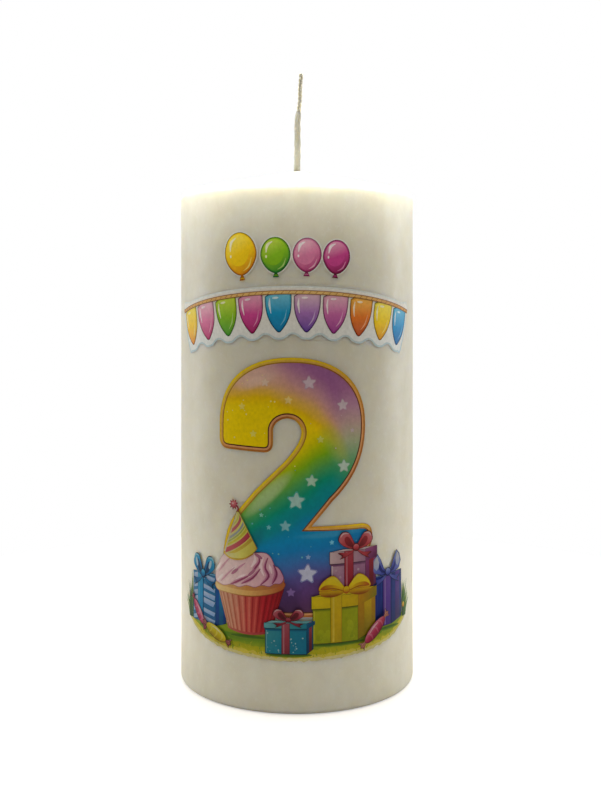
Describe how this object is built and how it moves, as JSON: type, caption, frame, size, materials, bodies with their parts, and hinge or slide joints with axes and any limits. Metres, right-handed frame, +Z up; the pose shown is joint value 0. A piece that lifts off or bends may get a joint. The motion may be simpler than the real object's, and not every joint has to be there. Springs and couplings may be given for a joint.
{
  "type": "number birthday candle",
  "caption": "White pillar candle with a waxed wick and a printed numeral two over gifts, a cupcake, sweets and a lawn, under balloons and an arch of pennants.",
  "frame": {"origin": "centre of the flat underside of the wax, on the surface the candle stands on", "axes": "+Z up along the wick, -Y out of the decorated front, +X to the right seen from the front"},
  "size_m": [0.06, 0.0615, 0.156],
  "materials": {
    "wax": "translucent white paraffin wax, satin",
    "core_wax": "pressed white paraffin wax, matt and slightly granular",
    "wick_cotton": "waxed braided cotton",
    "tin": "bright tinplate",
    "film_gold": "printed transfer film, satin, flush on the wax",
    "film_rainbow": "printed transfer film, satin, flush on the wax",
    "film_yellow": "printed transfer film, satin, flush on the wax",
    "film_orange": "printed transfer film, satin, flush on the wax",
    "film_green": "printed transfer film, satin, flush on the wax",
    "film_pink": "printed transfer film, satin, flush on the wax",
    "film_magenta": "printed transfer film, satin, flush on the wax",
    "film_blue": "printed transfer film, satin, flush on the wax",
    "film_violet": "printed transfer film, satin, flush on the wax",
    "film_lilac": "printed transfer film, satin, flush on the wax",
    "film_red": "printed transfer film, satin, flush on the wax",
    "film_teal": "printed transfer film, satin, flush on the wax",
    "film_grass": "printed transfer film, satin, flush on the wax",
    "film_string": "printed transfer film, satin, flush on the wax",
    "film_halo": "printed transfer film, satin, flush on the wax"
  },
  "bodies": {
    "root": {"wax_core": "core_wax", "wax_overdip": "wax", "wick_braid": "wick_cotton", "wick_sustainer": "tin", "base_plug": "core_wax", "numeral_rim_film": "film_gold", "numeral_film": "film_rainbow", "pennant_film_01": "film_yellow", "pennant_film_02": "film_pink", "pennant_film_03": "film_green", "pennant_film_04": "film_magenta", "pennant_film_05": "film_blue", "pennant_film_06": "film_violet", "pennant_film_07": "film_lilac", "pennant_film_08": "film_orange", "pennant_film_09": "film_yellow", "pennant_film_10": "film_blue", "garland_string_film": "film_string", "garland_backing_film": "film_halo", "balloon_yellow_film": "film_yellow", "balloon_green_film": "film_green", "balloon_pink_film": "film_pink", "balloon_magenta_film": "film_magenta", "gift_blue_film": "film_blue", "gift_violet_film": "film_violet", "gift_red_film": "film_red", "gift_yellow_film": "film_yellow", "gift_teal_film": "film_teal", "cupcake_case_film": "film_red", "cupcake_icing_film": "film_pink", "party_hat_film": "film_yellow", "sweet_pink_film": "film_pink", "sweet_yellow_film": "film_yellow", "sweet_magenta_film": "film_magenta", "lawn_film": "film_grass"}
  },
  "joints": []
}
